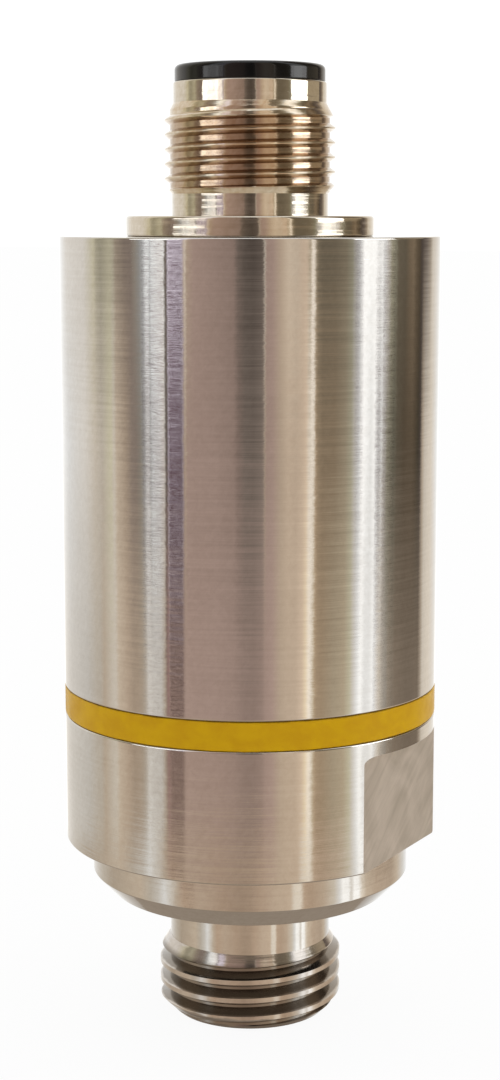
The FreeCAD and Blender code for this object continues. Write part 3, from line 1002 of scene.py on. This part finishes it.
# tints of the screens
tints = {
    "white": (1.0, 1.0, 0.99),
    "cool": (0.97, 1.01, 1.02),
    "pearl": (1.0, 0.95, 0.88),
    "cream": (1.0, 0.90, 0.77),
    "straw": (1.0, 0.93, 0.69),
    "beige": (1.0, 0.83, 0.65),
    "sand": (1.0, 0.79, 0.60),
    "tan": (1.0, 0.75, 0.55),
    "rose": (1.0, 0.73, 0.62),
    "violet": (1.0, 0.93, 1.07),
    "wine": (1.0, 0.60, 0.56),
    "umber": (1.0, 0.80, 0.68),
    "gold": (1.0, 0.83, 0.59),
    "amber": (1.0, 0.75, 0.50),
}

# Screens round the part, which only its glossy surfaces mirror: angle to the right of the camera in
# degrees, then brightness and tint high up, half way and low down. From one line to the next they
# change evenly.
screens = [
    (-180, 0.95, "white", 0.95, "white", 0.97, "white"),
    (-170, 0.76, "white", 0.84, "white", 0.90, "white"),
    (-160, 0.72, "white", 0.78, "white", 0.66, "pearl"),
    (-143, 0.64, "pearl", 0.65, "white", 0.56, "pearl"),
    (-117, 0.61, "pearl", 0.63, "pearl", 0.50, "pearl"),
    (-106, 0.50, "straw", 0.54, "cream", 0.46, "cream"),
    (-103, 0.34, "straw", 0.51, "cream", 0.45, "cream"),
    (-99, 0.28, "straw", 0.47, "cream", 0.44, "beige"),
    (-91, 0.39, "straw", 0.55, "straw", 0.53, "cream"),
    (-88.5, 0.36, "straw", 0.57, "cream", 0.55, "cream"),
    (-86, 0.26, "beige", 0.50, "beige", 0.51, "beige"),
    (-79, 0.18, "umber", 0.35, "sand", 0.43, "sand"),
    (-74, 0.19, "umber", 0.23, "umber", 0.35, "sand"),
    (-71, 0.25, "cream", 0.21, "umber", 0.36, "sand"),
    (-67.5, 0.27, "white", 0.22, "cream", 0.37, "beige"),
    (-65, 0.60, "cool", 0.42, "white", 0.47, "cream"),
    (-63.5, 0.94, "cool", 0.70, "white", 0.62, "pearl"),
    (-61.3, 0.96, "cool", 0.72, "white", 0.62, "pearl"),
    (-60.7, 0.45, "cool", 0.36, "white", 0.56, "pearl"),
    (-60.1, 0.94, "cool", 0.72, "cool", 0.58, "pearl"),
    (-54.5, 0.95, "white", 0.78, "white", 0.54, "pearl"),
    (-51.6, 0.95, "white", 0.74, "pearl", 0.40, "beige"),
    (-50.9, 0.13, "umber", 0.10, "umber", 0.26, "rose"),
    (-49.5, 0.13, "umber", 0.10, "umber", 0.27, "wine"),
    (-48.8, 0.80, "violet", 0.60, "violet", 0.36, "rose"),
    (-44, 0.74, "violet", 0.58, "violet", 0.34, "rose"),
    (-40, 0.70, "violet", 0.56, "violet", 0.34, "rose"),
    (-39.2, 0.34, "rose", 0.24, "rose", 0.33, "rose"),
    (-38.3, 0.72, "cream", 0.42, "sand", 0.36, "rose"),
    (-37.4, 0.40, "sand", 0.33, "rose", 0.36, "rose"),
    (-33, 0.34, "rose", 0.32, "rose", 0.35, "rose"),
    (-20, 0.28, "rose", 0.30, "rose", 0.34, "rose"),
    (-9.5, 0.23, "rose", 0.26, "rose", 0.31, "rose"),
    (-7, 0.13, "umber", 0.20, "rose", 0.29, "rose"),
    (-3, 0.085, "umber", 0.155, "umber", 0.265, "rose"),
    (2, 0.07, "umber", 0.15, "umber", 0.26, "rose"),
    (6.5, 0.095, "umber", 0.185, "umber", 0.29, "rose"),
    (7.8, 0.13, "umber", 0.22, "umber", 0.31, "rose"),
    (8.5, 0.50, "cream", 0.36, "sand", 0.34, "rose"),
    (9.4, 0.31, "rose", 0.33, "rose", 0.35, "rose"),
    (13, 0.33, "rose", 0.35, "rose", 0.38, "rose"),
    (18, 0.44, "sand", 0.42, "sand", 0.45, "sand"),
    (22.5, 0.56, "beige", 0.51, "sand", 0.49, "sand"),
    (27, 0.51, "beige", 0.48, "sand", 0.50, "sand"),
    (31, 0.52, "sand", 0.54, "sand", 0.61, "sand"),
    (33, 0.53, "sand", 0.62, "sand", 0.76, "gold"),
    (35, 0.38, "gold", 0.74, "cream", 0.86, "cream"),
    (35.7, 0.50, "gold", 0.80, "cream", 0.82, "cream"),
    (36.2, 0.86, "cream", 0.84, "cream", 0.74, "cream"),
    (37.9, 0.86, "cream", 0.78, "cream", 0.50, "gold"),
    (38.6, 0.30, "gold", 0.42, "amber", 0.42, "amber"),
    (40, 0.155, "gold", 0.28, "amber", 0.35, "amber"),
    (43, 0.125, "gold", 0.22, "amber", 0.33, "amber"),
    (51, 0.135, "gold", 0.22, "amber", 0.36, "gold"),
    (58, 0.17, "gold", 0.28, "gold", 0.42, "gold"),
    (62, 0.22, "straw", 0.34, "straw", 0.51, "straw"),
    (64.5, 0.33, "pearl", 0.46, "pearl", 0.62, "pearl"),
    (67, 0.50, "white", 0.60, "white", 0.78, "white"),
    (69, 0.85, "white", 0.90, "white", 0.97, "white"),
    (70, 1.02, "white", 0.96, "white", 0.95, "white"),
    (72.5, 1.02, "white", 0.90, "white", 0.76, "white"),
    (76, 1.02, "white", 0.76, "white", 0.78, "white"),
    (78.5, 1.02, "white", 0.90, "white", 0.90, "white"),
    (80, 0.98, "white", 0.86, "white", 0.76, "white"),
    (82, 0.90, "white", 0.52, "white", 0.72, "pearl"),
    (84, 0.95, "white", 0.68, "white", 0.58, "cream"),
    (86.5, 0.78, "white", 0.42, "pearl", 0.40, "cream"),
    (89.5, 0.62, "pearl", 0.24, "straw", 0.31, "cream"),
    (92, 0.38, "straw", 0.17, "straw", 0.28, "beige"),
    (95, 0.26, "straw", 0.12, "straw", 0.23, "beige"),
    (98, 0.13, "gold", 0.09, "gold", 0.20, "sand"),
    (105, 0.11, "gold", 0.08, "amber", 0.18, "sand"),
    (109.5, 0.16, "amber", 0.09, "amber", 0.17, "sand"),
    (113.5, 0.19, "amber", 0.09, "amber", 0.17, "sand"),
    (117, 0.12, "amber", 0.075, "amber", 0.17, "sand"),
    (121, 0.08, "amber", 0.05, "gold", 0.18, "sand"),
    (124, 0.07, "umber", 0.06, "umber", 0.17, "sand"),
    (127.5, 0.09, "umber", 0.40, "beige", 0.32, "beige"),
    (131, 0.12, "umber", 0.52, "cream", 0.56, "cream"),
    (137, 0.26, "beige", 0.60, "cream", 0.61, "cream"),
    (142, 0.54, "cream", 0.62, "cream", 0.63, "cream"),
    (157, 0.66, "pearl", 0.68, "white", 0.66, "pearl"),
    (170, 0.74, "white", 0.84, "white", 0.88, "white"),
    (180, 0.95, "white", 0.95, "white", 0.97, "white"),
]

# the screens nearest the floor, which the flange and the stud mirror
lowScreens = [
    (-180, 0.72, "white"),
    (-150, 0.56, "pearl"),
    (-135, 0.46, "cream"),
    (-118, 0.38, "beige"),
    (-98, 0.44, "beige"),
    (-86, 0.48, "beige"),
    (-76, 0.44, "cream"),
    (-69, 0.54, "pearl"),
    (-64, 0.68, "white"),
    (-60, 0.60, "pearl"),
    (-54, 0.46, "beige"),
    (-48, 0.43, "tan"),
    (-36, 0.44, "sand"),
    (-20, 0.39, "tan"),
    (-8, 0.34, "tan"),
    (0, 0.36, "tan"),
    (7, 0.42, "tan"),
    (18, 0.48, "sand"),
    (29, 0.51, "sand"),
    (31.5, 0.66, "cream"),
    (36.5, 0.70, "cream"),
    (39, 0.46, "tan"),
    (45, 0.42, "tan"),
    (54, 0.47, "sand"),
    (63, 0.58, "cream"),
    (68, 0.70, "white"),
    (70.5, 0.96, "white"),
    (75.5, 0.94, "white"),
    (77, 0.66, "pearl"),
    (79, 0.68, "pearl"),
    (80.5, 1.0, "white"),
    (85.5, 0.96, "white"),
    (88, 0.72, "cream"),
    (93, 0.56, "beige"),
    (104, 0.47, "sand"),
    (125, 0.41, "sand"),
    (135, 0.49, "beige"),
    (147, 0.56, "pearl"),
    (160, 0.64, "white"),
    (180, 0.72, "white"),
]

# where the screens are slatted: from one angle to another, then the dark share of each slat
# high up, half way and low down
slatted = [
    (-67, -51.2, 0.30, 0.42, 0.10),
    (-49.2, -39.4, 0.46, 0.88, 0.50),
    (34.5, 38.6, 0.15, 0.10, 0.0),
    (64, 70.5, 0.20, 0.15, 0.0),
    (79, 84.5, 0.05, 0.30, 0.08),
    (84.5, 96, 0.22, 0.20, 0.05),
]

# what only the connector mirrors: from one angle to another, brightness, tint
lampScreens = [
    (-75, -41, 1.8, "white"),
    (64, 95, 3.0, "white"),
    (95, 126, 0.32, "gold"),
]

tent = {
    "radius": 0.6,
    "columns": 1440,
    # heights of the rows of colour that screenColours gives, from below the floor up
    "levels": (-0.5, -0.26, -0.178, -0.17, -0.11, -0.032, 0.045, 0.060, 0.067, 0.16, 0.3, 1.2),
    "gain": 1.45,
    "below": (0.37, 0.305, 0.245),
    "belowShare": 0.25,              # how much of the lowest screens shows under them
    "slat": 0.016,                   # from one slat to the next
    "slatEdge": 0.08,
    "slatColour": (0.17, 0.11, 0.12, 1),
    "slatFade": 0.8,                 # degrees
    "leastSlat": 0.02,               # a smaller dark share draws no slats
}


def alongStops(stops, angle, column):
    # colour of a row of screens at an angle
    for before, after in zip(stops, stops[1:]):
        if angle <= after[0]:
            break
    share = (angle - before[0]) / (after[0] - before[0])
    ends = [Vector(tints[stop[column + 1]]) * stop[column] for stop in (before, after)]
    return ends[0].lerp(ends[1], share) * tent["gain"]


def slatShares(angle):
    shares = Vector((0, 0, 0))
    for start, end, *levels in slatted:
        inside = min(angle - start, end - angle) / tent["slatFade"]
        if inside > 0:
            shares = Vector(levels) * min(inside, 1)
    return shares


def screenColours(angle):
    # what the ring of screens shows at an angle, one colour and one share of slats for each level
    high, middle, low = (alongStops(screens, angle, column) for column in (1, 3, 5))
    lowest = alongStops(lowScreens, angle, 1)
    lamp = high
    for start, end, brightness, tint in lampScreens:
        if start < angle < end:
            lamp = Vector(tints[tint]) * brightness * tent["gain"]
    below = Vector(tent["below"]).lerp(lowest, tent["belowShare"])
    colours = (below, lowest, lowest, low, low, middle, high, high, lamp, lamp, high, high)
    highSlats, middleSlats, lowSlats = slatShares(angle)
    slats = (0, 0, 0, lowSlats, lowSlats, middleSlats, highSlats, highSlats, highSlats, highSlats, 0, 0)
    return [(*colour, slat) for colour, slat in zip(colours, slats)]


def screenMaterial():
    material = bpy.data.materials.new("screens")
    material.use_nodes = True
    tree = material.node_tree
    tree.nodes.clear()
    glow = addNode(tree, "ShaderNodeAttribute", attribute_name="glow")
    light = addNode(tree, "ShaderNodeEmission")
    result = addNode(tree, "ShaderNodeOutputMaterial")
    height, _ = heightAndRadius(tree)
    slat = maths(tree, "PINGPONG", height, tent["slat"] / 2)
    fraction = maths(tree, "DIVIDE", slat, tent["slat"] / 2)
    share = glow.outputs["Alpha"]
    dark = ranged(tree, fraction, maths(tree, "ADD", share, tent["slatEdge"]),
                  maths(tree, "SUBTRACT", share, tent["slatEdge"]))
    dark = maths(tree, "MULTIPLY", dark, maths(tree, "GREATER_THAN", share, tent["leastSlat"]))
    plain = glow.outputs["Color"]
    shaded = blend(tree, 1.0, plain, tent["slatColour"], "MULTIPLY")
    feed(tree, light.inputs["Color"], blend(tree, dark, plain, shaded))
    tree.links.new(light.outputs[0], result.inputs["Surface"])
    return material


def makeTent():
    # ring of softly coloured screens and a floor of its own, which only glossy surfaces mirror
    shape = bmesh.new()
    glow = shape.verts.layers.float_color.new("glow")
    radius = tent["radius"]

    def litPoint(place, colour):
        point = shape.verts.new(place)
        point[glow] = colour
        return point

    towardCamera = view["azimuth"] - math.pi / 2
    strips = []
    for column in range(tent["columns"] + 1):
        degrees = 360 * column / tent["columns"] - 180
        turn = towardCamera + math.radians(degrees)
        across, along = radius * math.cos(turn), radius * math.sin(turn)
        strips.append([litPoint((across, along, level), colour)
                       for level, colour in zip(tent["levels"], screenColours(degrees))])
    for left, right in zip(strips, strips[1:]):
        for row in range(len(tent["levels"]) - 1):
            shape.faces.new((left[row], right[row], right[row + 1], left[row + 1]))
    corners = ((-radius, -radius), (radius, -radius), (radius, radius), (-radius, radius))
    shape.faces.new([litPoint((x, y, tent["levels"][0]), (*tent["below"], 0)) for x, y in corners])
    mesh = asMesh("tent", shape)
    mesh.materials.append(screenMaterial())
    ring = addObject("screenRing", mesh)
    ring.visible_camera = False
    ring.visible_diffuse = False
    ring.visible_shadow = False
    ring.visible_transmission = False


def seenDirectly(tree):
    # 1 for what the camera sees, straight or by way of metal and glass
    path = addNode(tree, "ShaderNodeLightPath")
    total = path.outputs["Is Camera Ray"]
    for name in ("Is Glossy Ray", "Is Transmission Ray"):
        total = maths(tree, "MAXIMUM", total, path.outputs[name])
    return total


floorLook = {
    "reach": 3.0,
    "thickness": 10 * mm,
    "colour": (0.96, 0.96, 0.96, 1),
    "roughness": 0.9,
    "ownWhite": 0.94,   # share of plain white, the rest keeps the shadow
}


def makeFloor():
    reach = floorLook["reach"]
    mesh = boxMesh("floor", (-reach, -reach, studEnd - floorLook["thickness"]), (reach, reach, studEnd))
    material = startFinish("floor_white", floorLook["colour"], floorLook["roughness"],
                           Specular_IOR_Level=0.0)
    tree, shader = material.node_tree, shaderOf(material)
    white = addNode(tree, "ShaderNodeEmission")
    mixed = addNode(tree, "ShaderNodeMixShader")
    feed(tree, mixed.inputs[0], maths(tree, "MULTIPLY", seenDirectly(tree), floorLook["ownWhite"]))
    tree.links.new(shader.outputs[0], mixed.inputs[1])
    tree.links.new(white.outputs[0], mixed.inputs[2])
    result = next(node for node in tree.nodes if node.type == "OUTPUT_MATERIAL")
    tree.links.new(mixed.outputs[0], result.inputs["Surface"])
    mesh.materials.append(material)
    floor = addObject("floor", mesh)
    floor.visible_glossy = False


roomLight = {
    "darkSide": math.radians(-18),    # from the camera's own side
    "span": (-0.2, 0.9),              # cosines towards that side between which the light falls
    "strength": (1.1, 0.42),
}


def makeWorld():
    # white where it is seen; as a light it is dimmer on the camera's side
    world = bpy.data.worlds.new("world")
    world.use_nodes = True
    tree = world.node_tree
    direction = addNode(tree, "ShaderNodeTexCoord").outputs["Generated"]
    dark = view["azimuth"] - math.pi / 2 + roomLight["darkSide"]
    toward = addNode(tree, "ShaderNodeVectorMath", operation="DOT_PRODUCT")
    feed(tree, toward.inputs[0], direction)
    feed(tree, toward.inputs[1], (math.cos(dark), math.sin(dark), 0))
    light = ranged(tree, toward.outputs["Value"], *roomLight["span"], *roomLight["strength"])
    background = tree.nodes["Background"]
    feed(tree, background.inputs["Color"], (1, 1, 1, 1))
    feed(tree, background.inputs["Strength"], maths(tree, "MAXIMUM", light, seenDirectly(tree)))
    bpy.context.scene.world = world


makeCamera()
makeTent()
makeFloor()
makeWorld()
print("camera, light and floor set")
